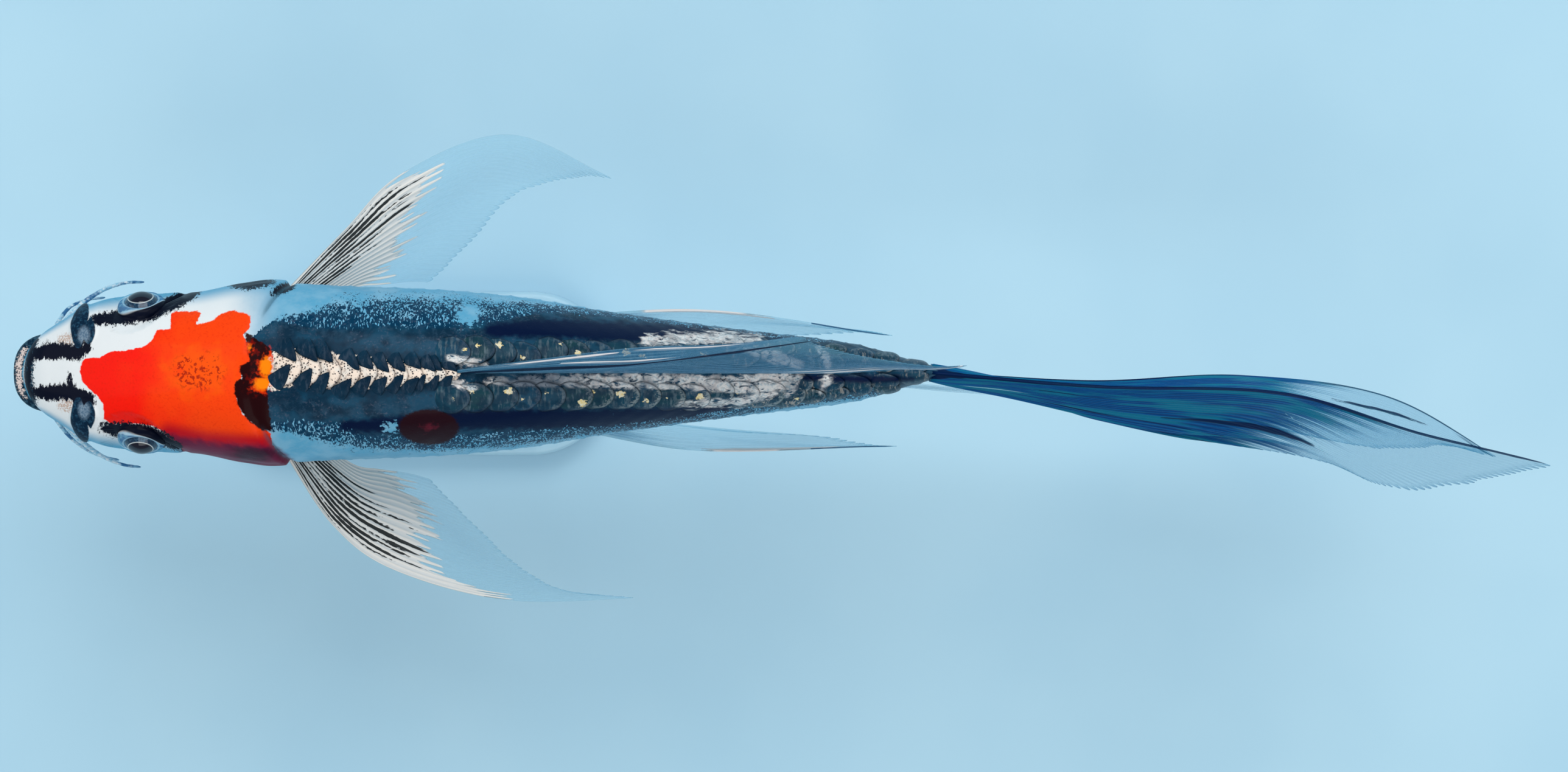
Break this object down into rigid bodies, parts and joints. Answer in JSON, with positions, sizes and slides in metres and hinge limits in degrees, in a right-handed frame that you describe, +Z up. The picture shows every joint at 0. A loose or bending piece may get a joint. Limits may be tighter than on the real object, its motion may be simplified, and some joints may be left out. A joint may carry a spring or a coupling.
{
  "type": "koi carp",
  "caption": "Life-size still model of a long-finned mirror-scaled koi carp, swimming level with its fins spread, held by a plain stand.",
  "frame": {"origin": "middle of the stand base's underside, on the floor below the fish's centre of mass", "axes": "+X from the snout towards the tail, +Y towards the fish's right side, +Z up"},
  "size_m": [0.3599, 0.1108, 0.1241],
  "materials": {
    "head_skin": "wet, smooth skin: scarlet cap, white cheeks and black marks",
    "gill_plate": "wet, pearly bone plate under thin skin",
    "eye": "clear wet cornea over a pale ring and black pupil",
    "lip": "wet slate-black skin with a pale streak",
    "nostril": "soft dark slate skin",
    "barbel": "soft pale skin",
    "body_skin": "wet blue-black and white skin with rows of mirror scales",
    "fin": "white rays with black streaks, clear membrane towards the tips",
    "dark_fin": "slate-black rays in a smoky clear membrane",
    "stand_base": "polished white acrylic",
    "stand_rod": "satin steel"
  },
  "bodies": {
    "root": {"head": "head_skin", "gill_cover_left": "gill_plate", "gill_cover_right": "gill_plate", "eye_left": "eye", "eye_right": "eye", "lip_upper": "lip", "lip_lower": "lip", "nostril_flap_left": "nostril", "nostril_flap_right": "nostril", "barbel_front_left": "barbel", "barbel_front_right": "barbel", "barbel_rear_left": "barbel", "barbel_rear_right": "barbel", "trunk": "body_skin", "tail_stalk": "body_skin", "fin_pectoral_left": "fin", "fin_pectoral_right": "fin", "fin_pelvic_left": "fin", "fin_pelvic_right": "fin", "fin_dorsal": "dark_fin", "fin_anal": "fin", "fin_caudal_upper": "dark_fin", "fin_caudal_lower": "dark_fin", "stand_base": "stand_base", "stand_rod_front": "stand_rod", "stand_rod_rear": "stand_rod"}
  },
  "joints": []
}
